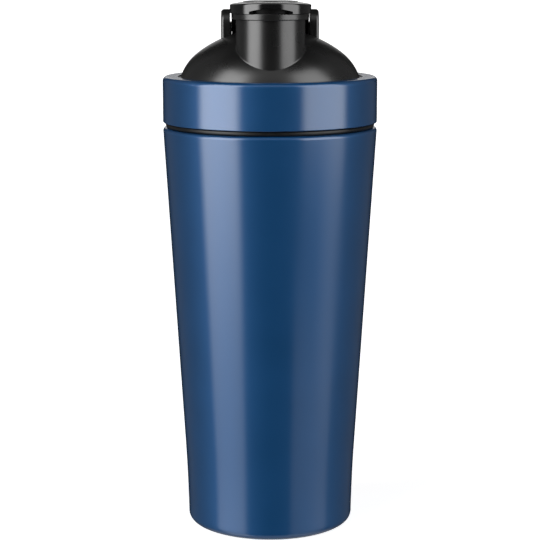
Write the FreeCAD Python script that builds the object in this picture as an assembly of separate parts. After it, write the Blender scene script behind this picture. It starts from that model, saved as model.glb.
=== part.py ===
import FreeCAD, Part
import math
import os

# Protein shaker bottle: a double-wall steel cup, a screw lid with a domed top and an offset
# drinking spout, a flip cap on two hinge pins, and a loose wire whisk ball.
# Millimetres, +Z up, origin in the middle of the base, spout towards -Y.

V = FreeCAD.Vector
UP = V(0, 0, 1)
ACROSS = V(1, 0, 0)

# ---- steel cup: driving dimensions ----
STEEL = 0.6                 # sheet of the shell, liner, base and collar
SHOULDER_Z = 171.1          # height of the painted shoulder
BODY_TOP_R = 45.05          # outside radius at the shoulder
KNEE_R = 35.67              # outside radius where the taper eases into the foot
KNEE_Z = 18.6
FOOT_SLOPE_SHARE = 1 / 3    # slope of the foot against the slope of the taper
FOOT_FILLET = 3.2
SHOULDER_FILLET = 1.5
KNEE_SPARE = 1.0            # straight run left between the foot fillet and the knee's blend
FOOT_RING_W = 4.5           # width of the turned-in foot flange, fillet included
SHOULDER_W = 4.65           # step from the body in to the neck
NECK_FILLET = 0.5
VACUUM_GAP = 2.5            # between shell and liner
FLOOR_Z = 10.0              # top of the liner's floor
FLOOR_FILLET = 6.0
LINER_SEAM_Z = 22.0         # weld between liner wall and liner bottom
LINER_SHOULDER_H = 6.0      # height over which the liner widens below the neck
LINER_BLEND = 3.0
LIP_ROUND = 0.35

# ---- base pieces ----
BASE_COVER_T = 0.4
BASE_COVER_GAP = 0.1        # clearance of the cover in the foot ring
BASE_OVERLAP = 1.1          # how far the base plate lies on the foot flange
BASE_RIM_W = 3.0            # flat rim of the base plate
BASE_SLOPE_W = 7.0          # sloping ring inside that rim
BASE_PLATE_RISE = 2.6
BASE_COVER_RISE = 1.2
BEAD_R = 1.5
BEAD_HEAD_R = 2.6
BEAD_HEAD_H = 0.9
GETTER_R = 6.0
GETTER_H = 2.0

# ---- thread ----
STARTS = 3
LEAD = 12.0
THREAD_DEPTH = 1.1
THREAD_GAP = 0.3            # crest to the facing wall
RIDGE_ROOT_W = 1.9
RIDGE_CREST_W = 1.1
RIDGE_BITE = 0.25           # how far a ridge is sunk into its wall
MALE_TURNS = 0.55
FEMALE_TURNS = 0.45
THREAD_FOOT = 4.3           # shoulder to the middle of the first male ridge

# ---- lid ----
LID_GAP = 2.1               # visible slot between shoulder and collar
COLLAR_INSET = 0.05         # collar radius against the body's
COLLAR_H = 19.1
COLLAR_FILLET = 1.9
COLLAR_EDGE = 0.35
COLLAR_RIM_W = 6.4          # top annulus of the collar
GROOVE_W = 1.2              # slot between the collar's rim and the dome
COLLAR_FIT = 0.1            # lid core inside the collar
FLANGE_T = 3.5              # dome flange under the collar's rim
RING_GAP = 0.3              # thread ring inside the collar
RING_RECESS = 0.1           # thread ring's foot above the collar's
GASKET_SIT = 0.05           # gasket above the shoulder
GASKET_INSET = 0.25         # gasket's outside from the thread ring's
GASKET_ROUND = 0.9
GASKET_BORE_GAP = 0.1
SEAL_H = 1.9
SEAL_SIT = 0.05             # seal above the lip and below the lid
SEAL_SIDE_GAP = 0.4         # seal to the lid's plug lip
SEAL_RING_GAP = 0.3         # seal to the thread ring
SEAL_ROUND = 0.5
PLUG_GAP = 1.2              # plug lip inside the mouth
PLUG_T = 1.6
PLUG_H = 2.5
DOME_H = 19.9               # dome apex above the collar
DOME_CROWN_R = 50.0         # flatter middle of the dome
DOME_SIDE_R = 22.0          # rounder sides, tangent to it
DOME_T = 2.4

# ---- spout ----
SPOUT_R = 14.05
SPOUT_WALL = 2.05
SPOUT_INSET = 2.25          # front of the spout behind the dome's visible edge
SPOUT_TOP = 26.9            # lip above the collar
SPOUT_FLANGE_W = 1.35       # lip ring outside the spout
SPOUT_FLANGE_H = 2.7
SPOUT_EDGE = 0.4
SPOUT_BLEND = 0.5           # fillet where the spout meets the dome

# ---- hinge and flip cap ----
HINGE_REACH = 25.1          # spout axis to hinge axis
HINGE_DROP = 7.4            # spout lip down to hinge axis
PIN_R = 1.2
PIN_PLAY = 0.1
PIN_PRESS = 0.02
PIN_BLIND = 0.85            # ear left outside the pin's end
KNUCKLE_R = 2.3
KNUCKLE_RELIEF = 0.2
CAP_GAP = 0.3               # skirt round the lip ring
CAP_WALL = 0.8
CAP_DROP = 0.1              # skirt below the spout's lip
CAP_TOP = 5.05              # crown above the spout's lip
CAP_EDGE = 0.7
CROWN_ACROSS_R = 85.0
CROWN_ALONG_R = 170.0
ARCH_R = 31.0               # thumb cut-out in the front of the skirt
ARCH_H = 2.2
ARCH_DEPTH = 2.5            # how far back the cut-out goes
INSERT_RIM = 5.2            # cap's rim round the insert
INSERT_T = 1.2
INSERT_PROUD = 0.25
INSERT_GAP = 0.1
INSERT_EDGE = 0.3
ARM_T = 3.5
ARM_GAP = 0.15              # between arm and ear pad
ARM_ROOT_BACK = 4.0         # arm root behind the spout axis
ARM_ROOT_RISE = 1.5         # arm root above the spout's lip
ARM_HALF_H = 1.5
EAR_GAP = 0.3               # cap rim to ear
EAR_T = 3.65
EAR_R = 6.1
EAR_EDGE = 1.3
EAR_RISE = 2.0              # middle of the ear's round top above the hinge axis
EAR_PAD_T = 0.7
EAR_PAD_RISE = 2.8
EAR_PAD_HALF = 4.5
STOPPER_INSET = 1.6         # stopper's disc inside the lip ring
STOPPER_DISC_T = 2.1
STOPPER_SIT = 0.05
STOPPER_DEPTH = 1.8
STOPPER_TOP_GAP = 0.4       # stopper in the bore, at the lip
STOPPER_TIP_GAP = 1.6       # and at its tip, which swings out past the bore's edge
STOPPER_ROUND = 0.5

# ---- whisk ball ----
BALL_R = 24.0               # outside
WIRE_R = 1.0
HALF_TURNS = 12
POLE_ANGLE = 24.0           # degrees left open at each pole
BALL_SIT = 0.3              # ball above the liner's floor

# ---- worked-out places ----
NECK_H = LID_GAP + COLLAR_H - STEEL - FLANGE_T - SEAL_H - 2 * SEAL_SIT
LIP_Z = SHOULDER_Z + NECK_H
NECK_R = BODY_TOP_R - SHOULDER_W
LINER_NECK_R = NECK_R - STEEL
MOUTH_R = LINER_NECK_R - STEEL
TAPER = (BODY_TOP_R - KNEE_R) / (SHOULDER_Z - KNEE_Z)
FOOT_SLOPE = TAPER * FOOT_SLOPE_SHARE
FOOT_R = KNEE_R - FOOT_SLOPE * KNEE_Z
KNEE_REACH = KNEE_Z - FOOT_FILLET - KNEE_SPARE
FOOT_HOLE_R = FOOT_R - FOOT_RING_W

COLLAR_R = BODY_TOP_R - COLLAR_INSET
COLLAR_Z = SHOULDER_Z + LID_GAP
COLLAR_TOP_Z = COLLAR_Z + COLLAR_H
COLLAR_MOUTH_R = COLLAR_R - COLLAR_RIM_W
FLANGE_TOP_Z = COLLAR_TOP_Z - STEEL
CEILING_Z = FLANGE_TOP_Z - FLANGE_T
FLANGE_R = COLLAR_R - STEEL - COLLAR_FIT
MALE_CREST_R = NECK_R + THREAD_DEPTH
RING_BORE_R = MALE_CREST_R + THREAD_GAP
RING_R = COLLAR_R - STEEL - RING_GAP
RING_Z = COLLAR_Z + RING_RECESS
FEMALE_CREST_R = NECK_R + THREAD_GAP
MALE_Z = SHOULDER_Z + THREAD_FOOT

DOME_EDGE_R = COLLAR_MOUTH_R - GROOVE_W
DOME_CROWN_Z = COLLAR_TOP_Z + DOME_H - DOME_CROWN_R
SPOUT_Y = -(DOME_EDGE_R - SPOUT_INSET - SPOUT_R)
SPOUT_Z = COLLAR_TOP_Z + SPOUT_TOP
SPOUT_BORE_R = SPOUT_R - SPOUT_WALL
SPOUT_FLANGE_R = SPOUT_R + SPOUT_FLANGE_W
HINGE_Y = SPOUT_Y + HINGE_REACH
HINGE_Z = SPOUT_Z - HINGE_DROP

CAP_R = SPOUT_FLANGE_R + CAP_GAP + CAP_WALL
INSERT_R = CAP_R - INSERT_RIM
CAP_BOTTOM_Z = SPOUT_Z - CAP_DROP
CAP_CEILING_Z = SPOUT_Z + STOPPER_SIT + STOPPER_DISC_T
CAP_CROWN_Z = SPOUT_Z + CAP_TOP
EAR_IN_X = CAP_R + EAR_GAP
PAD_X = EAR_IN_X - EAR_PAD_T
ARM_OUT_X = PAD_X - ARM_GAP
ARM_IN_X = ARM_OUT_X - ARM_T
PIN_END_X = EAR_IN_X + EAR_T - PIN_BLIND


def rounded_wire(corners):
    """Closed wire in the XZ plane through corners (x, z, radius), rounded by tangent arcs.

    A corner (x, z, None, reach) is eased by a shallow parabola that starts and ends reach away.
    """
    points = [V(corner[0], 0, corner[1]) for corner in corners]
    bends = []
    for i, here in enumerate(points):
        back = (points[i - 1] - here).normalize()
        ahead = (points[(i + 1) % len(points)] - here).normalize()
        half = back.getAngle(ahead) / 2
        radius = corners[i][2]
        if radius is None:
            reach = corners[i][3]
            curve = Part.BezierCurve()
            curve.setPoles([here + back * reach, here, here + ahead * reach])
            bends.append((curve, here + back * reach, here + ahead * reach))
            continue
        reach = radius / math.tan(half)
        start, end = here + back * reach, here + ahead * reach
        middle = here + (back + ahead).normalize() * (radius / math.sin(half) - radius)
        bends.append((Part.Arc(start, middle, end) if radius else None, start, end))
    edges = []
    for i, (curve, start, end) in enumerate(bends):
        if curve:
            edges.append(curve.toShape())
        edges.append(Part.LineSegment(end, bends[(i + 1) % len(bends)][1]).toShape())
    return Part.Wire(edges)


def turned(corners):
    """Solid of revolution about Z from a rounded outline."""
    return Part.Face(rounded_wire(corners)).revolve(V(), UP, 360)


def rod(radius, x0, x1, y, z):
    """Cylinder along X."""
    return Part.makeCylinder(radius, x1 - x0, V(x0, y, z), ACROSS)


def tube_z(radius, z0, z1, y=0):
    """Cylinder along Z."""
    return Part.makeCylinder(radius, z1 - z0, V(0, y, z0), UP)


def plate_x(outline, x0, x1):
    """Prism along X from an outline of (y, z) points."""
    points = [V(x0, y, z) for y, z in outline]
    return Part.Face(Part.makePolygon(points + points[:1])).extrude(V(x1 - x0, 0, 0))


def mirrored(shape):
    """The same piece on the other side, at -X."""
    return shape.mirror(V(), ACROSS)


def outer_r(z):
    """Outside radius of the tapered body."""
    return KNEE_R + TAPER * (z - KNEE_Z)


def liner_r(z):
    """Outside radius of the liner below the neck."""
    return outer_r(z) - STEEL - VACUUM_GAP


# ---- thread ----
def ridge(root_r, crest_r, turns, z, angle):
    """One right-hand helical ridge of trapezoid section, its middle starting at height z."""
    side = 1 if crest_r > root_r else -1
    buried_r = root_r - side * RIDGE_BITE
    flare = (RIDGE_ROOT_W - RIDGE_CREST_W) / THREAD_DEPTH
    buried_w = RIDGE_ROOT_W + flare * RIDGE_BITE
    section = [(buried_r, -buried_w / 2), (crest_r, -RIDGE_CREST_W / 2),
               (crest_r, RIDGE_CREST_W / 2), (buried_r, buried_w / 2)]
    points = [V(r, 0, dz) for r, dz in section]
    profile = Part.makePolygon(points + points[:1])
    path = Part.makeHelix(LEAD, LEAD * turns, root_r)
    sweep = Part.BRepOffsetAPI.MakePipeShell(Part.Wire(path.Edges))
    sweep.setFrenetMode(True)
    sweep.add(profile)
    sweep.build()
    sweep.makeSolid()
    solid = sweep.shape()
    solid.rotate(V(), UP, angle)
    solid.translate(V(0, 0, z))
    return solid


def ridges(root_r, crest_r, turns, z):
    """All the starts of a thread."""
    return [ridge(root_r, crest_r, turns, z, 360 / STARTS * i) for i in range(STARTS)]


# ---- cup ----
def outer_shell():
    inner_top = SHOULDER_Z - STEEL
    shell = turned([
        (FOOT_HOLE_R, 0, 0),
        (FOOT_R, 0, FOOT_FILLET),
        (KNEE_R, KNEE_Z, None, KNEE_REACH),
        (BODY_TOP_R, SHOULDER_Z, SHOULDER_FILLET),
        (NECK_R, SHOULDER_Z, NECK_FILLET),
        (NECK_R, LIP_Z - STEEL, 0),
        (LINER_NECK_R, LIP_Z - STEEL, 0),
        (LINER_NECK_R, inner_top, NECK_FILLET + STEEL),
        (outer_r(inner_top) - STEEL, inner_top, SHOULDER_FILLET - STEEL),
        (KNEE_R - STEEL, KNEE_Z, None, KNEE_REACH),
        (FOOT_R - STEEL, STEEL, FOOT_FILLET - STEEL),
        (FOOT_HOLE_R, STEEL, 0),
    ])
    return shell.fuse(ridges(NECK_R, MALE_CREST_R, MALE_TURNS, MALE_Z))


def liner_wall():
    wide_z = SHOULDER_Z - STEEL - LINER_SHOULDER_H
    seam_r = liner_r(LINER_SEAM_Z)
    return turned([
        (seam_r, LINER_SEAM_Z, 0),
        (liner_r(wide_z), wide_z, LINER_BLEND),
        (LINER_NECK_R, SHOULDER_Z - STEEL, LINER_BLEND),
        (LINER_NECK_R, LIP_Z - STEEL, 0),
        (NECK_R, LIP_Z - STEEL, 0),
        (NECK_R, LIP_Z, LIP_ROUND),
        (MOUTH_R, LIP_Z, LIP_ROUND),
        (MOUTH_R, SHOULDER_Z - STEEL, LINER_BLEND + STEEL),
        (liner_r(wide_z) - STEEL, wide_z, LINER_BLEND - STEEL),
        (seam_r - STEEL, LINER_SEAM_Z, 0),
    ])


def liner_bottom():
    seam_r = liner_r(LINER_SEAM_Z)
    under_z = FLOOR_Z - STEEL
    return turned([
        (0, FLOOR_Z, 0),
        (liner_r(FLOOR_Z) - STEEL, FLOOR_Z, FLOOR_FILLET - STEEL),
        (seam_r - STEEL, LINER_SEAM_Z, 0),
        (seam_r, LINER_SEAM_Z, 0),
        (liner_r(under_z), under_z, FLOOR_FILLET),
        (0, under_z, 0),
    ])


def dished_disc(rim_r, z, rise, thickness, rim_w, slope_w, hole_r=0):
    """Sheet disc with a flat rim at height z and a raised middle."""
    knee_r = rim_r - rim_w
    flat_r = knee_r - slope_w
    return turned([
        (hole_r, z + rise, 0),
        (flat_r, z + rise, slope_w),
        (knee_r, z, slope_w),
        (rim_r, z, 0),
        (rim_r, z + thickness, 0),
        (knee_r, z + thickness, slope_w),
        (flat_r, z + rise + thickness, slope_w),
        (hole_r, z + rise + thickness, 0),
    ])


def base_plate():
    return dished_disc(FOOT_HOLE_R + BASE_OVERLAP, STEEL, BASE_PLATE_RISE, STEEL,
                       BASE_RIM_W, BASE_SLOPE_W, BEAD_R)


def base_cover():
    rim_r = FOOT_HOLE_R - BASE_COVER_GAP
    return dished_disc(rim_r, STEEL - BASE_COVER_T, BASE_COVER_RISE, BASE_COVER_T,
                       BASE_RIM_W + BASE_OVERLAP, BASE_SLOPE_W)


def seal_bead():
    under_z = STEEL + BASE_PLATE_RISE
    return turned([
        (0, under_z - BEAD_HEAD_H, 0),
        (BEAD_HEAD_R, under_z - BEAD_HEAD_H, BEAD_HEAD_H / 2),
        (BEAD_HEAD_R, under_z, 0),
        (BEAD_R, under_z, 0),
        (BEAD_R, under_z + STEEL, 0),
        (0, under_z + STEEL, 0),
    ])


def getter():
    top_z = FLOOR_Z - STEEL
    return tube_z(GETTER_R, top_z - GETTER_H, top_z)


# ---- lid ----
def lid_collar():
    inner_r = COLLAR_R - STEEL
    return turned([
        (COLLAR_R, COLLAR_Z, COLLAR_EDGE),
        (COLLAR_R, COLLAR_TOP_Z, COLLAR_FILLET),
        (COLLAR_MOUTH_R, COLLAR_TOP_Z, COLLAR_EDGE),
        (COLLAR_MOUTH_R, FLANGE_TOP_Z, 0),
        (inner_r, FLANGE_TOP_Z, COLLAR_FILLET - STEEL),
        (inner_r, COLLAR_Z, COLLAR_EDGE),
    ])


def thread_ring():
    bore = tube_z(RING_BORE_R, RING_Z, CEILING_Z)
    ring = tube_z(RING_R, RING_Z, CEILING_Z).cut(bore)
    half_pitch = LEAD / STARTS / 2
    return ring.fuse(ridges(RING_BORE_R, FEMALE_CREST_R, FEMALE_TURNS, MALE_Z + half_pitch))


def shoulder_gasket():
    inner_r = RING_BORE_R + GASKET_BORE_GAP
    outer_edge_r = RING_R - GASKET_INSET
    bottom_z = SHOULDER_Z + GASKET_SIT
    return turned([
        (inner_r, bottom_z, 0),
        (outer_edge_r, bottom_z, GASKET_ROUND),
        (outer_edge_r, RING_Z, GASKET_ROUND),
        (inner_r, RING_Z, 0),
    ])


def lid_seal():
    inner_r = MOUTH_R - PLUG_GAP + SEAL_SIDE_GAP
    bottom_z = LIP_Z + SEAL_SIT
    top_z = bottom_z + SEAL_H
    return turned([
        (inner_r, bottom_z, SEAL_ROUND),
        (RING_BORE_R - SEAL_RING_GAP, bottom_z, SEAL_ROUND),
        (RING_BORE_R - SEAL_RING_GAP, top_z, SEAL_ROUND),
        (inner_r, top_z, SEAL_ROUND),
    ])


def dome_sides():
    """Middle (r, z) of the dome's side arc, which ends on the collar's plane at the dome's edge."""
    reach = DOME_CROWN_R - DOME_SIDE_R
    rise = COLLAR_TOP_Z - DOME_CROWN_Z
    slant = math.hypot(DOME_EDGE_R, rise)
    along = (reach ** 2 - DOME_SIDE_R ** 2 + slant ** 2) / (2 * slant)
    off = math.sqrt(reach ** 2 - along ** 2)
    return ((along * DOME_EDGE_R - off * rise) / slant,
            DOME_CROWN_Z + (along * rise + off * DOME_EDGE_R) / slant)


def dome_body(inset):
    """Solid under the dome down to the lid's ceiling, its surface moved in by inset."""
    side_r, side_z = dome_sides()
    crown, side = DOME_CROWN_R - inset, DOME_SIDE_R - inset
    lean = math.atan2(side_r, side_z - DOME_CROWN_Z)
    foot = math.acos((CEILING_Z - side_z) / side)

    def on_crown(angle):
        return V(crown * math.sin(angle), 0, DOME_CROWN_Z + crown * math.cos(angle))

    def on_side(angle):
        return V(side_r + side * math.sin(angle), 0, side_z + side * math.cos(angle))

    low = V(0, 0, CEILING_Z)
    edges = [Part.Arc(on_crown(0), on_crown(lean / 2), on_crown(lean)).toShape(),
             Part.Arc(on_side(lean), on_side((lean + foot) / 2), on_side(foot)).toShape(),
             Part.LineSegment(on_side(foot), low).toShape(),
             Part.LineSegment(low, on_crown(0)).toShape()]
    return Part.Face(Part.Wire(edges)).revolve(V(), UP, 360)


def ear():
    """Hinge ear on the +X side, its outer edge rounded, with the thin pad inside it."""
    outer_x = EAR_IN_X + EAR_T
    top_z = HINGE_Z + EAR_RISE
    pad_z = HINGE_Z + EAR_PAD_RISE
    web = [(HINGE_Y - EAR_R, COLLAR_TOP_Z), (HINGE_Y - EAR_R, top_z),
           (HINGE_Y + EAR_R, top_z), (HINGE_Y + EAR_R, COLLAR_TOP_Z)]
    pad = [(HINGE_Y - EAR_PAD_HALF, COLLAR_TOP_Z), (HINGE_Y - EAR_PAD_HALF, pad_z),
           (HINGE_Y + EAR_PAD_HALF, pad_z), (HINGE_Y + EAR_PAD_HALF, COLLAR_TOP_Z)]
    tab = plate_x(web, EAR_IN_X, outer_x)
    tab = tab.fuse(rod(EAR_R, EAR_IN_X, outer_x, HINGE_Y, top_z)).removeSplitter()
    rim = [e for e in tab.Edges
           if e.BoundBox.XMin > PIN_END_X and e.BoundBox.ZMax > COLLAR_TOP_Z + EAR_R]
    tab = tab.makeFillet(EAR_EDGE, rim)
    return tab.fuse(plate_x(pad, PAD_X, EAR_IN_X))


def lid_dome():
    dome = dome_body(0).fuse(tube_z(SPOUT_R, CEILING_Z, SPOUT_Z, SPOUT_Y))
    joint = [e for e in dome.Edges
             if e.BoundBox.ZMin > COLLAR_TOP_Z and e.BoundBox.ZMax < SPOUT_Z - SPOUT_FLANGE_H
             and e.BoundBox.YMax < SPOUT_Y + SPOUT_R + SPOUT_EDGE]
    dome = dome.makeFillet(SPOUT_BLEND, joint)
    lip = tube_z(SPOUT_FLANGE_R, SPOUT_Z - SPOUT_FLANGE_H, SPOUT_Z, SPOUT_Y)
    lip = lip.makeFillet(SPOUT_EDGE, [e for e in lip.Edges if len(e.Vertexes) == 1])
    plug_r = MOUTH_R - PLUG_GAP
    web_top_z = CEILING_Z + PLUG_T
    plug = tube_z(plug_r, CEILING_Z - PLUG_H, CEILING_Z).fuse(tube_z(NECK_R, CEILING_Z, web_top_z))
    plug = plug.cut(tube_z(plug_r - PLUG_T, CEILING_Z - PLUG_H, web_top_z))
    flange = turned([(0, CEILING_Z, 0), (FLANGE_R, CEILING_Z, 0),
                     (FLANGE_R, FLANGE_TOP_Z, COLLAR_FILLET - STEEL), (0, FLANGE_TOP_Z, 0)])
    core = dome.fuse([flange, lip, ear(), mirrored(ear())])
    bore = tube_z(SPOUT_BORE_R, CEILING_Z, SPOUT_Z + SPOUT_FLANGE_H, SPOUT_Y)
    core = core.cut([dome_body(DOME_T), bore])
    core = core.fuse(plug)
    relief_r = KNUCKLE_R + KNUCKLE_RELIEF
    relief = rod(relief_r, ARM_IN_X - ARM_GAP, PAD_X, HINGE_Y, HINGE_Z)
    hole = rod(PIN_R + PIN_PRESS, ARM_IN_X, PIN_END_X, HINGE_Y, HINGE_Z)
    return core.cut([relief, mirrored(relief), hole, mirrored(hole)])


def hinge_pin():
    return rod(PIN_R, ARM_IN_X, PIN_END_X, HINGE_Y, HINGE_Z)


# ---- flip cap ----
def crown_barrel(top_z):
    """Solid under a barrel-shaped crown, more curved across than along, highest over the spout."""
    half = CROWN_ACROSS_R / 2
    drop = CROWN_ACROSS_R - math.sqrt(CROWN_ACROSS_R ** 2 - half ** 2)
    axis_z = top_z - CROWN_ALONG_R
    left = V(-half, SPOUT_Y, top_z - drop)
    right = V(half, SPOUT_Y, top_z - drop)
    arc = Part.Arc(left, V(0, SPOUT_Y, top_z), right)
    sides = Part.makePolygon([right, V(half, SPOUT_Y, axis_z), V(-half, SPOUT_Y, axis_z), left])
    face = Part.Face(Part.Wire([arc.toShape()] + sides.Edges))
    return face.revolve(V(0, SPOUT_Y, axis_z), ACROSS, 360)


def arm():
    """Cap arm on the +X side: a bar from the cap's rim to its hinge knuckle."""
    root_y = SPOUT_Y + ARM_ROOT_BACK
    root_z = SPOUT_Z + ARM_ROOT_RISE
    length = math.hypot(root_y - HINGE_Y, root_z - HINGE_Z)
    side_y = ARM_HALF_H * (HINGE_Z - root_z) / length
    side_z = ARM_HALF_H * (root_y - HINGE_Y) / length
    outline = [(HINGE_Y + side_y, HINGE_Z + side_z), (root_y + side_y, root_z + side_z),
               (root_y - side_y, root_z - side_z), (HINGE_Y - side_y, HINGE_Z - side_z)]
    return plate_x(outline, ARM_IN_X, ARM_OUT_X).fuse(
        rod(KNUCKLE_R, ARM_IN_X, ARM_OUT_X, HINGE_Y, HINGE_Z))


def flip_cap():
    crown = crown_barrel(CAP_CROWN_Z)
    cap = tube_z(CAP_R, CAP_BOTTOM_Z, CAP_CROWN_Z + CAP_TOP, SPOUT_Y).common(crown)
    top_edges = [e for e in cap.Edges
                 if e.BoundBox.ZMin > CAP_CEILING_Z and e.BoundBox.XLength > CAP_R]
    cap = cap.makeFillet(CAP_EDGE, top_edges)
    cap = cap.fuse([arm(), mirrored(arm())])
    cavity = tube_z(CAP_R - CAP_WALL, HINGE_Z, CAP_CEILING_Z, SPOUT_Y)
    arch_z = CAP_BOTTOM_Z + ARCH_H - ARCH_R
    arch = Part.makeCylinder(ARCH_R, CAP_R, V(0, SPOUT_Y - CAP_R + ARCH_DEPTH, arch_z), V(0, -1, 0))
    pocket = tube_z(INSERT_R + INSERT_GAP, CAP_CROWN_Z + INSERT_PROUD - INSERT_T - CAP_EDGE,
                    CAP_CROWN_Z + CAP_TOP, SPOUT_Y)
    bore = rod(PIN_R + PIN_PLAY, -PAD_X, PAD_X, HINGE_Y, HINGE_Z)
    return cap.cut([cavity, arch, pocket, bore])


def cap_insert():
    floor_z = CAP_CROWN_Z + INSERT_PROUD - INSERT_T - CAP_EDGE
    disc = tube_z(INSERT_R, floor_z, CAP_CROWN_Z + CAP_TOP, SPOUT_Y)
    disc = disc.common(crown_barrel(CAP_CROWN_Z + INSERT_PROUD))
    top_edges = [e for e in disc.Edges
                 if e.BoundBox.ZMin > floor_z and e.BoundBox.XLength > INSERT_R]
    return disc.makeFillet(INSERT_EDGE, top_edges)


def spout_seal():
    bottom_z = SPOUT_Z + STOPPER_SIT
    seal = turned([
        (0, bottom_z - STOPPER_DEPTH, 0),
        (SPOUT_BORE_R - STOPPER_TIP_GAP, bottom_z - STOPPER_DEPTH, STOPPER_ROUND),
        (SPOUT_BORE_R - STOPPER_TOP_GAP, bottom_z, 0),
        (SPOUT_FLANGE_R - STOPPER_INSET, bottom_z, 0),
        (SPOUT_FLANGE_R - STOPPER_INSET, CAP_CEILING_Z, 0),
        (0, CAP_CEILING_Z, 0),
    ])
    seal.translate(V(0, SPOUT_Y, 0))
    return seal


# ---- whisk ball ----
def whisk_ball():
    """One wire wound as a ball: half circles that alternate sides and meet along Y."""
    loop_r = BALL_R - WIRE_R
    pole_h = loop_r * math.cos(math.radians(POLE_ANGLE))
    centre_z = FLOOR_Z + BALL_SIT + WIRE_R + pole_h
    step = (180 - 2 * POLE_ANGLE) / HALF_TURNS
    points = []
    for i in range(HALF_TURNS + 1):
        polar = math.radians(POLE_ANGLE + step * i)
        side = 1 if i % 2 else -1
        points.append(V(side * loop_r * math.sin(polar), 0, centre_z - loop_r * math.cos(polar)))
    bends = []
    for i in range(HALF_TURNS):
        middle = (points[i] + points[i + 1]) / 2
        bulge = points[i].distanceToPoint(points[i + 1]) / 2
        side = 1 if i % 2 else -1
        bends.append(Part.Arc(points[i], middle + V(0, side * bulge, 0), points[i + 1]).toShape())
    section = Part.Wire(Part.Circle(points[0], V(0, 1, 0), WIRE_R).toShape())
    coil = Part.Wire(bends).makePipeShell([section], True, False)
    tips = [Part.makeSphere(WIRE_R, points[0]), Part.makeSphere(WIRE_R, points[-1])]
    return coil.fuse(tips)


PIECES = {
    "outer_shell": outer_shell,
    "liner_wall": liner_wall,
    "liner_bottom": liner_bottom,
    "base_plate": base_plate,
    "base_cover": base_cover,
    "seal_bead": seal_bead,
    "getter": getter,
    "lid_seal": lid_seal,
    "lid_collar": lid_collar,
    "lid_dome": lid_dome,
    "thread_ring": thread_ring,
    "shoulder_gasket": shoulder_gasket,
    "hinge_pin_right": hinge_pin,
    "hinge_pin_left": lambda: mirrored(hinge_pin()),
    "flip_cap": flip_cap,
    "cap_insert": cap_insert,
    "spout_seal": spout_seal,
    "whisk_ball": whisk_ball,
}

os.makedirs("parts", exist_ok=True)
for name, make in PIECES.items():
    piece = make()
    piece.exportStep("parts/" + name + ".step")
    box = piece.BoundBox
    print(name, "solids", len(piece.Solids), "valid", piece.isValid(), "volume", round(piece.Volume),
          "z", round(box.ZMin, 2), round(box.ZMax, 2))
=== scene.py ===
import bmesh
import bpy
import math
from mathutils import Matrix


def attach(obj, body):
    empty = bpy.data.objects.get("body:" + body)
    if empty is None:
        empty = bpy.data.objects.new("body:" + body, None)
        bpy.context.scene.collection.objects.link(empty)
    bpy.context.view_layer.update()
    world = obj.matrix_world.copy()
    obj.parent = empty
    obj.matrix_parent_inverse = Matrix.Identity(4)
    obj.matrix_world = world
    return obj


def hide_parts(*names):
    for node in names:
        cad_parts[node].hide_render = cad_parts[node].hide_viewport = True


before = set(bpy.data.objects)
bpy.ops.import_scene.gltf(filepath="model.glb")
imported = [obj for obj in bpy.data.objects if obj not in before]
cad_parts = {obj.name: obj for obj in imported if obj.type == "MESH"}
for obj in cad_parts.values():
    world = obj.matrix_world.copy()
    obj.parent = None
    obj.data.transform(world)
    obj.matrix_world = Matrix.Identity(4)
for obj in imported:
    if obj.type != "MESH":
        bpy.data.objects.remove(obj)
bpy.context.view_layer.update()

MM = 0.001

# ---- steel shell, thread and whisk ball, in millimetres, with the CAD's sizes ----
STEEL = 0.6
SHOULDER_Z = 171.1
BODY_TOP_R = 45.05
KNEE_R = 35.67
KNEE_Z = 18.6
KNEE_REACH = 14.4
FOOT_R = 35.29
FOOT_FILLET = 3.2
FOOT_RING_W = 4.5
SHOULDER_FILLET = 1.5
NECK_R = 40.4
NECK_FILLET = 0.5
NECK_TOP_Z = 185.6
PAINT_EDGE_Z = 172.4         # the paint stops here on the neck, out of sight under the lid
LINER_SEAM_Z = 22.0
STARTS = 3
LEAD = 12.0
RIDGE_DEPTH = 1.1
RIDGE_FOOT_Z = 175.4         # middle of a ridge where it starts
RIDGE_TURNS = 0.55
RIDGE_FADE = 12.0            # degrees over which a ridge rises from the neck
RIDGE_ROOT_W = 1.9
RIDGE_CREST_W = 1.1
RIDGE_BITE = 0.25            # how deep a ridge's root is in the neck
# the next four and RIDGE_FADE shape the ridges' ends and edges, which the CAD leaves plain
RIDGE_SUNK = 0.15            # how deep its crest is in the neck where it ends
ROOT_FLARE = 0.1
CREST_FLARE = 0.09
CREST_ROUND = 0.12
BALL_R = 24.0
WIRE_R = 1.0
HALF_TURNS = 12
POLE_ANGLE = 24.0
BALL_FOOT_Z = 10.3

# ---- how finely the meshes are cut ----
TURN_STEPS = 192
ARC_STEP = 11.0              # degrees
KNEE_STEPS = 14
RIDGE_STEP = 3.0             # degrees
WIRE_STEPS = 24              # along a half turn of the wire
WIRE_SIDES = 14
TIP_ANGLES = (1.45, 1.0, 0.5, 0.0)    # radians, from the wire's tip to its full width
CREASE = 35.0                # degrees, past which an edge stays sharp
WELD_DIST = 0.001            # merges the boolean's doubled points

# ---- studio: angles in degrees round the bottle, 0 towards the camera, + towards +X ----
CAMERA_DISTANCE = 0.735
CAMERA_HEIGHT = 0.243
CAMERA_AZIMUTH = -0.6
CAMERA_PITCH = 10.3
CAMERA_LENS = 116.3
SENSOR = 36.0
BACKGROUND = 1.0
AMBIENT = 0.014
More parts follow.
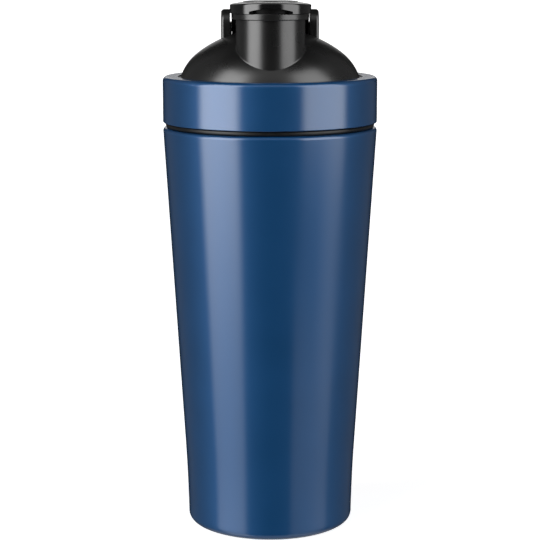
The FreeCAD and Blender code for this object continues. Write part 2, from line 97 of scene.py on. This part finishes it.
# azimuth from, to, blur, elevation from, to, blur, radiance; 200 runs past the seam at 180
SOFTBOXES = {
    "left": (-80, -34, 12, -14, 52, 16, 4.3),
    "left_low": (-79, -35, 10, -60, 52, 10, 1.15),
    "right": (35, 86, 11, -10, 52, 9, 3.5),
    "right_outer": (62, 86, 26, -20, -8, 8, 0.6),
    "right_low": (29, 85, 10, -60, -18, 6, 0.45),
    "overhead": (-34, 34, 8, 36, 75, 16, 0.5),
    "wall_right": (92, 150, 24, -40, 50, 12, 0.11),
    "wall_left": (-150, -86, 24, -40, 50, 12, 0.12),
    "wall_back_right": (168, 200, 6, 4, 18, 4, 0.9),
    "wall_back_left": (-200, -168, 6, 4, 18, 4, 0.9),
    "table": (-200, 200, 10, -95, -42, 14, 0.5),
}
FLOOR_SIZE = 30.0
FLOOR_SIDES = 96
FLOOR_GLOW = 0.7
PAINT_DEEP = (0.0015, 0.064, 0.196)
PAINT_PALE = (0.0022, 0.072, 0.218)


# ---- node helpers ----
class Graph:
    """Small helper to build a node tree."""

    def __init__(self, tree):
        self.tree = tree
        tree.nodes.clear()

    def add(self, kind, inputs=None, **settings):
        node = self.tree.nodes.new(kind)
        for name, value in settings.items():
            setattr(node, name, value)
        for key, value in (inputs or {}).items():
            if isinstance(value, bpy.types.NodeSocket):
                self.tree.links.new(value, node.inputs[key])
            else:
                node.inputs[key].default_value = value
        return node

    def math(self, operation, a, b=0.0):
        return self.add("ShaderNodeMath", {0: a, 1: b}, operation=operation).outputs[0]

    def ramp(self, value, low, high, start=0.0, end=1.0):
        """value from low to high becomes start to end, eased at both ends."""
        inputs = {"Value": value, "From Min": low, "From Max": high, "To Min": start, "To Max": end}
        return self.add("ShaderNodeMapRange", inputs, interpolation_type="SMOOTHSTEP").outputs[0]

    def band(self, value, low, high, blur):
        """1 where value is from low to high, 0 outside, with blurred ends."""
        inside = self.ramp(value, low - blur / 2, low + blur / 2)
        return self.math("MULTIPLY", inside, self.ramp(value, high - blur / 2, high + blur / 2, 1.0, 0.0))

    def noise(self, vector, scale, detail=2.0, roughness=0.5):
        node = self.add("ShaderNodeTexNoise", {"Vector": vector, "Scale": scale, "Detail": detail,
                                               "Roughness": roughness})
        return node.outputs["Fac"]


def studio_world():
    """A white room for the camera, and softboxes in a dim studio for light and reflections."""
    world = bpy.data.worlds.new("studio")
    bpy.context.scene.world = world
    world.use_nodes = True
    g = Graph(world.node_tree)
    direction = g.add("ShaderNodeTexCoord").outputs["Generated"]
    axes = g.add("ShaderNodeSeparateXYZ", {0: direction})
    ahead = g.math("MULTIPLY", axes.outputs["Y"], -1.0)
    azimuth = g.math("DEGREES", g.math("ARCTAN2", axes.outputs["X"], ahead))
    elevation = g.math("DEGREES", g.math("ARCSINE", axes.outputs["Z"]))
    total = AMBIENT
    for from_az, to_az, blur_az, from_el, to_el, blur_el, radiance in SOFTBOXES.values():
        across = g.band(azimuth, from_az, to_az, blur_az)
        upward = g.band(elevation, from_el, to_el, blur_el)
        patch = g.math("MULTIPLY", g.math("MULTIPLY", across, upward), radiance)
        total = g.math("ADD", total, patch)
    seen = g.add("ShaderNodeLightPath").outputs["Is Camera Ray"]
    strength = g.add("ShaderNodeMix", {0: seen, 2: total, 3: BACKGROUND}).outputs[0]
    light = g.add("ShaderNodeBackground", {"Strength": strength})
    g.add("ShaderNodeOutputWorld", {"Surface": light.outputs[0]})


def make_camera():
    data = bpy.data.cameras.new("camera")
    data.lens = CAMERA_LENS
    data.sensor_width = SENSOR
    data.clip_end = FLOOR_SIZE
    camera = bpy.data.objects.new("camera", data)
    turn = math.radians(CAMERA_AZIMUTH)
    camera.location = (CAMERA_DISTANCE * math.sin(turn), -CAMERA_DISTANCE * math.cos(turn), CAMERA_HEIGHT)
    camera.rotation_euler = (math.radians(90 - CAMERA_PITCH), 0, turn)
    bpy.context.collection.objects.link(camera)
    bpy.context.scene.camera = camera


def make_floor():
    """A white floor that lights and mirrors nothing."""
    bpy.ops.mesh.primitive_circle_add(vertices=FLOOR_SIDES, radius=FLOOR_SIZE / 2, fill_type="NGON")
    floor = bpy.context.object
    floor.name = "floor"
    material = bpy.data.materials.new("floor")
    material.use_nodes = True
    g = Graph(material.node_tree)
    shader = g.add("ShaderNodeBsdfPrincipled", {
        "Base Color": (0.9, 0.9, 0.9, 1), "Roughness": 0.9, "Specular IOR Level": 0.0,
        "Emission Color": (1, 1, 1, 1), "Emission Strength": FLOOR_GLOW})
    g.add("ShaderNodeOutputMaterial", {"Surface": shader.outputs[0]})
    floor.data.materials.append(material)
    floor.visible_glossy = False
    floor.visible_diffuse = False


# ---- mesh code, in millimetres ----
def rounded(corners):
    """Closed outline of (r, z) points from corners (r, z, radius) or (r, z, None, reach).

    A radius gives an arc. A reach gives a parabola that starts and ends that far from the corner.
    """
    outline = []
    for i, (r, z, radius, *reach) in enumerate(corners):
        back = (corners[i - 1][0] - r, corners[i - 1][1] - z)
        ahead = (corners[(i + 1) % len(corners)][0] - r, corners[(i + 1) % len(corners)][1] - z)
        back = [c / math.hypot(*back) for c in back]
        ahead = [c / math.hypot(*ahead) for c in ahead]
        if radius is None:
            for k in range(KNEE_STEPS + 1):
                t = k / KNEE_STEPS
                out, on = reach[0] * (1 - t) ** 2, reach[0] * t ** 2
                outline.append((r + back[0] * out + ahead[0] * on, z + back[1] * out + ahead[1] * on))
            continue
        if radius == 0:
            outline.append((r, z))
            continue
        half = math.acos(back[0] * ahead[0] + back[1] * ahead[1]) / 2
        run = radius / math.tan(half)
        to_middle = radius / math.sin(half) / math.hypot(back[0] + ahead[0], back[1] + ahead[1])
        middle = (r + (back[0] + ahead[0]) * to_middle, z + (back[1] + ahead[1]) * to_middle)
        start = math.atan2(z + back[1] * run - middle[1], r + back[0] * run - middle[0])
        end = math.atan2(z + ahead[1] * run - middle[1], r + ahead[0] * run - middle[0])
        sweep = (end - start + math.pi) % (2 * math.pi) - math.pi
        steps = max(4, round(abs(sweep) / math.radians(ARC_STEP)))
        for k in range(steps + 1):
            angle = start + sweep * k / steps
            outline.append((middle[0] + radius * math.cos(angle), middle[1] + radius * math.sin(angle)))
    return outline


def skin(rings, closed):
    """Skin a list of equal rings of (x, y, z) points; closed joins the last ring to the first."""
    mesh = bmesh.new()
    rows = [[mesh.verts.new([c * MM for c in point]) for point in ring] for ring in rings]
    for i in range(len(rows) if closed else len(rows) - 1):
        here, after = rows[i], rows[(i + 1) % len(rows)]
        for k in range(len(here)):
            j = (k + 1) % len(here)
            mesh.faces.new((here[k], here[j], after[j], after[k]))
    if not closed:
        mesh.faces.new(rows[0])
        mesh.faces.new(rows[-1])
    bmesh.ops.recalc_face_normals(mesh, faces=mesh.faces)
    return mesh


def link(name, mesh):
    """A scene object from a bmesh, which is freed."""
    data = bpy.data.meshes.new(name)
    mesh.to_mesh(data)
    mesh.free()
    piece = bpy.data.objects.new(name, data)
    bpy.context.collection.objects.link(piece)
    return piece


def shaded(name, mesh):
    """An object with smooth faces, sharp creases, and normals weighted by area."""
    for face in mesh.faces:
        face.smooth = True
    for edge in mesh.edges:
        edge.smooth = len(edge.link_faces) == 2 and edge.calc_face_angle() < math.radians(CREASE)
    piece = link(name, mesh)
    weighted = piece.modifiers.new("normals", "WEIGHTED_NORMAL")
    weighted.keep_sharp = True
    weighted.weight = 100
    return piece


def lathe(corners):
    """Skin of an outline turned about the bottle's axis."""
    outline = rounded(corners)
    rings = []
    for k in range(TURN_STEPS):
        angle = 2 * math.pi * k / TURN_STEPS
        rings.append([(r * math.cos(angle), r * math.sin(angle), z) for r, z in outline])
    return skin(rings, True)


def ease(t):
    """0 to 1, level at both ends."""
    t = min(max(t, 0.0), 1.0)
    return t * t * (3 - 2 * t)


def ridge(first_angle):
    """Skin of one thread ridge, its two ends fading into the neck."""
    span = 360 * RIDGE_TURNS
    steps = round(span / RIDGE_STEP)
    rings = []
    for k in range(steps + 1):
        turn = span * k / steps
        rise = ease(min(turn, span - turn) / RIDGE_FADE)
        crest = NECK_R - RIDGE_SUNK + (RIDGE_DEPTH + RIDGE_SUNK) * rise
        angle = math.radians(first_angle + turn)
        middle = RIDGE_FOOT_Z + LEAD * turn / 360
        lower = [(NECK_R - RIDGE_BITE, -RIDGE_ROOT_W / 2 - ROOT_FLARE),
                 (crest - CREST_ROUND, -RIDGE_CREST_W / 2 - CREST_FLARE),
                 (crest, -RIDGE_CREST_W / 2 + CREST_ROUND)]
        section = lower + [(r, -dz) for r, dz in reversed(lower)]
        rings.append([(r * math.cos(angle), r * math.sin(angle), middle + dz) for r, dz in section])
    return skin(rings, False)


def shell_corners():
    """Outside of the shell from foot to neck, then its inside back down."""
    taper = (BODY_TOP_R - KNEE_R) / (SHOULDER_Z - KNEE_Z)
    inner_top = SHOULDER_Z - STEEL
    inner_r = KNEE_R + taper * (inner_top - KNEE_Z) - STEEL
    return [
        (FOOT_R - FOOT_RING_W, 0, 0),
        (FOOT_R, 0, FOOT_FILLET),
        (KNEE_R, KNEE_Z, None, KNEE_REACH),
        (BODY_TOP_R, SHOULDER_Z, SHOULDER_FILLET),
        (NECK_R, SHOULDER_Z, NECK_FILLET),
        (NECK_R, PAINT_EDGE_Z, 0),
        (NECK_R - STEEL, PAINT_EDGE_Z, 0),
        (NECK_R - STEEL, inner_top, NECK_FILLET + STEEL),
        (inner_r, inner_top, SHOULDER_FILLET - STEEL),
        (KNEE_R - STEEL, KNEE_Z, None, KNEE_REACH),
        (FOOT_R - STEEL, STEEL, FOOT_FILLET - STEEL),
        (FOOT_R - FOOT_RING_W, STEEL, 0),
    ]


def make_neck():
    """Bare steel neck with its thread ridges joined on as one skin."""
    neck = link("neck_blank", lathe([
        (NECK_R, PAINT_EDGE_Z, 0), (NECK_R, NECK_TOP_Z, 0),
        (NECK_R - STEEL, NECK_TOP_Z, 0), (NECK_R - STEEL, PAINT_EDGE_Z, 0)]))
    for i in range(STARTS):
        tool = link("ridge", ridge(360 / STARTS * i))
        join = neck.modifiers.new("join", "BOOLEAN")
        join.operation = "UNION"
        join.solver = "EXACT"
        join.object = tool
        joined = neck.evaluated_get(bpy.context.evaluated_depsgraph_get())
        data = bpy.data.meshes.new_from_object(joined)
        neck.modifiers.clear()
        neck.data = data
        bpy.data.objects.remove(tool)
    mesh = bmesh.new()
    mesh.from_mesh(neck.data)
    bpy.data.objects.remove(neck)
    bmesh.ops.remove_doubles(mesh, verts=mesh.verts, dist=WELD_DIST * MM)
    return shaded("steel_neck", mesh)


def make_ball():
    """One wire: half circles on a sphere that alternate sides, with round tips."""
    loop_r = BALL_R - WIRE_R
    pole = math.radians(POLE_ANGLE)
    centre_z = BALL_FOOT_Z + WIRE_R + loop_r * math.cos(pole)
    step = (math.pi - 2 * pole) / HALF_TURNS
    ends = []
    for i in range(HALF_TURNS + 1):
        side = 1 if i % 2 else -1
        polar = pole + step * i
        ends.append((side * loop_r * math.sin(polar), -loop_r * math.cos(polar)))
    path = []
    for i in range(HALF_TURNS):
        (x0, z0), (x1, z1) = ends[i], ends[i + 1]
        reach = math.hypot(x1 - x0, z1 - z0) / 2
        side = 1 if i % 2 else -1
        last = WIRE_STEPS if i == HALF_TURNS - 1 else WIRE_STEPS - 1
        for k in range(last + 1):
            angle = math.pi * k / WIRE_STEPS
            along = (1 - math.cos(angle)) / 2
            path.append((x0 + (x1 - x0) * along, side * reach * math.sin(angle), z0 + (z1 - z0) * along))
    rings = []
    for i, point in enumerate(path):
        before, after = path[max(i - 1, 0)], path[min(i + 1, len(path) - 1)]
        run = unit([b - a for a, b in zip(before, after)])
        out = unit(point)
        across = cross(run, out)
        tips = [(0.0, WIRE_R)]
        if i == 0:
            tips = [(-WIRE_R * math.sin(t), WIRE_R * math.cos(t)) for t in TIP_ANGLES]
        if i == len(path) - 1:
            tips = [(WIRE_R * math.sin(t), WIRE_R * math.cos(t)) for t in reversed(TIP_ANGLES)]
        for shift, radius in tips:
            ring = []
            for k in range(WIRE_SIDES):
                angle = 2 * math.pi * k / WIRE_SIDES
                offset = [shift * t + radius * (math.cos(angle) * o + math.sin(angle) * a)
                          for t, o, a in zip(run, out, across)]
                ring.append((point[0] + offset[0], point[1] + offset[1], point[2] + offset[2] + centre_z))
            rings.append(ring)
    return shaded("wire_ball", skin(rings, False))


def unit(vector):
    length = math.sqrt(sum(c * c for c in vector))
    return [c / length for c in vector]


def cross(a, b):
    return [a[1] * b[2] - a[2] * b[1], a[2] * b[0] - a[0] * b[2], a[0] * b[1] - a[1] * b[0]]


# ---- materials ----
def surface(name, build, **constants):
    """A Principled material; build(g, shader) adds its procedural colour, roughness and bump."""
    material = bpy.data.materials.new(name)
    material.use_nodes = True
    g = Graph(material.node_tree)
    shader = g.add("ShaderNodeBsdfPrincipled", {k.replace("_", " "): v for k, v in constants.items()})
    build(g, shader)
    g.add("ShaderNodeOutputMaterial", {"Surface": shader.outputs[0]})
    return material


def vary(g, shader, fac, dark, light, rough_low, rough_high):
    """Colour and roughness that follow fac, from 0 to 1."""
    colour = g.add("ShaderNodeMix", {0: fac, 6: dark + (1,), 7: light + (1,)}, data_type="RGBA")
    g.tree.links.new(colour.outputs[2], shader.inputs["Base Color"])
    g.tree.links.new(g.ramp(fac, 0.0, 1.0, rough_low, rough_high), shader.inputs["Roughness"])


def bump(g, shader, height, distance, socket="Normal"):
    """Relief of distance metres on the shader's normal, or on its coat's."""
    node = g.add("ShaderNodeBump", {"Height": height, "Distance": distance, "Strength": 1.0})
    g.tree.links.new(node.outputs[0], shader.inputs[socket])


def place_in(g):
    """Place on the piece, in its own coordinates."""
    return g.add("ShaderNodeTexCoord").outputs["Object"]


def spun(g, squash):
    """A place whose noise runs in rings round the bottle's axis."""
    axes = g.add("ShaderNodeSeparateXYZ", {0: place_in(g)})
    radius = g.math("SQRT", g.math("ADD", g.math("MULTIPLY", axes.outputs["X"], axes.outputs["X"]),
                                   g.math("MULTIPLY", axes.outputs["Y"], axes.outputs["Y"])))
    angle = g.math("MULTIPLY", g.math("ARCTAN2", axes.outputs["Y"], axes.outputs["X"]), squash)
    return g.add("ShaderNodeCombineXYZ", {"X": radius, "Y": angle, "Z": axes.outputs["Z"]}).outputs[0]


def enamel(g, shader):
    """Baked enamel: faint clouding, orange peel and a few finer specks in the gloss."""
    place = place_in(g)
    cloud = g.noise(place, 60.0)
    vary(g, shader, cloud, PAINT_DEEP, PAINT_PALE, 0.44, 0.52)
    peel = g.math("ADD", g.noise(place, 650.0), g.math("MULTIPLY", g.noise(place, 2600.0), 0.25))
    bump(g, shader, peel, 0.000004)
    bump(g, shader, peel, 0.000003, "Coat Normal")


def satin_plastic(g, shader):
    """Moulded polypropylene with a fine spark-eroded grain."""
    place = place_in(g)
    vary(g, shader, g.noise(place, 90.0), (0.0065, 0.0065, 0.0065), (0.0095, 0.0095, 0.0095), 0.25, 0.32)
    grain = g.math("ADD", g.noise(place, 2500.0, 4.0), g.math("MULTIPLY", g.noise(place, 220.0), 0.6))
    bump(g, shader, grain, 0.000006)


def gloss_plastic(g, shader):
    """Polished mould surface: nearly flat, with the long waves of a shrunk moulding."""
    place = place_in(g)
    vary(g, shader, g.noise(place, 110.0), (0.005, 0.005, 0.0055), (0.008, 0.008, 0.0085), 0.10, 0.17)
    wave = g.math("ADD", g.noise(place, 160.0), g.math("MULTIPLY", g.noise(place, 1800.0), 0.15))
    bump(g, shader, wave, 0.000006)


def rubber(g, shader):
    """Matte moulded rubber."""
    place = place_in(g)
    vary(g, shader, g.noise(place, 400.0), (0.004, 0.004, 0.004), (0.008, 0.008, 0.008), 0.34, 0.46)
    bump(g, shader, g.noise(place, 3000.0, 4.0), 0.000010)


def silicone(g, shader):
    """Darker and duller than the rubber."""
    place = place_in(g)
    vary(g, shader, g.noise(place, 300.0), (0.003, 0.003, 0.003), (0.005, 0.005, 0.005), 0.45, 0.58)
    bump(g, shader, g.noise(place, 2500.0, 4.0), 0.000012)


def turned_steel(g, shader):
    """Spun sheet: fine rings round the axis, wider tonal bands, and the liner's weld."""
    fine = g.noise(spun(g, 0.0008), 4200.0, 3.0, 0.5)
    broad = g.noise(spun(g, 0.002), 420.0, 2.0)
    marks = g.math("ADD", g.math("MULTIPLY", fine, 0.5), g.math("MULTIPLY", broad, 0.5))
    vary(g, shader, g.ramp(marks, 0.25, 0.75), (0.52, 0.52, 0.53), (0.66, 0.66, 0.67), 0.22, 0.34)
    height = g.add("ShaderNodeSeparateXYZ", {0: place_in(g)}).outputs["Z"]
    off = g.math("ABSOLUTE", g.math("SUBTRACT", height, LINER_SEAM_Z * MM))
    weld = g.math("MULTIPLY", g.ramp(off, 0.0, 0.0007, 1.0, 0.0), 8.0)
    ripple = g.math("MULTIPLY", weld, g.noise(spun(g, 0.035), 900.0, 1.0))
    bump(g, shader, g.math("ADD", marks, ripple), 0.000002)


def drawn_steel(g, shader):
    """Drawn wire and ground pins: soft streaks and small scuffs."""
    place = place_in(g)
    marks = g.noise(place, 900.0, 4.0, 0.6)
    vary(g, shader, g.ramp(marks, 0.3, 0.7), (0.5, 0.5, 0.51), (0.7, 0.7, 0.71), 0.12, 0.26)
    bump(g, shader, marks, 0.000005)


def glass_bead(g, shader):
    """Cloudy fused bead."""
    place = place_in(g)
    vary(g, shader, g.noise(place, 800.0), (0.12, 0.12, 0.11), (0.22, 0.22, 0.2), 0.2, 0.4)


PAINT = surface("enamel", enamel, Metallic=0.45, Coat_Weight=1.0, Coat_Roughness=0.14, Coat_IOR=1.64)
SATIN = surface("satin_plastic", satin_plastic, Specular_IOR_Level=0.9)
GLOSS = surface("gloss_plastic", gloss_plastic, Specular_IOR_Level=0.9)
RUBBER = surface("rubber", rubber, Specular_IOR_Level=0.5)
SILICONE = surface("silicone", silicone, Specular_IOR_Level=0.25)
TURNED = surface("turned_steel", turned_steel, Metallic=1.0)
DRAWN = surface("drawn_steel", drawn_steel, Metallic=1.0)
BEAD = surface("glass_bead", glass_bead)

FINISHES = {
    "lid_collar": PAINT,
    "liner_wall": TURNED, "liner_bottom": TURNED, "base_plate": TURNED, "base_cover": TURNED,
    "lid_dome": SATIN, "thread_ring": SATIN, "flip_cap": GLOSS, "cap_insert": GLOSS,
    "shoulder_gasket": RUBBER, "lid_seal": SILICONE, "spout_seal": SILICONE,
    "hinge_pin_left": DRAWN, "hinge_pin_right": DRAWN, "getter": DRAWN,
    "seal_bead": BEAD,
}
for node, material in FINISHES.items():
    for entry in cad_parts[node].material_slots:
        entry.material = material


def place(piece, body, node, material, slot):
    """Put a new piece on its body, in place of a CAD node."""
    piece.data.materials.clear()
    piece.data.materials.append(material)
    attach(piece, body)
    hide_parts(node)


place(shaded("painted_body", lathe(shell_corners())), "bottle", "outer_shell", PAINT, "blue_paint")
place(make_neck(), "bottle", "outer_shell", TURNED, "bare_steel")
place(make_ball(), "agitator", "whisk_ball", DRAWN, "wire_steel")

bpy.context.scene.view_settings.view_transform = "Standard"
studio_world()
make_camera()
make_floor()
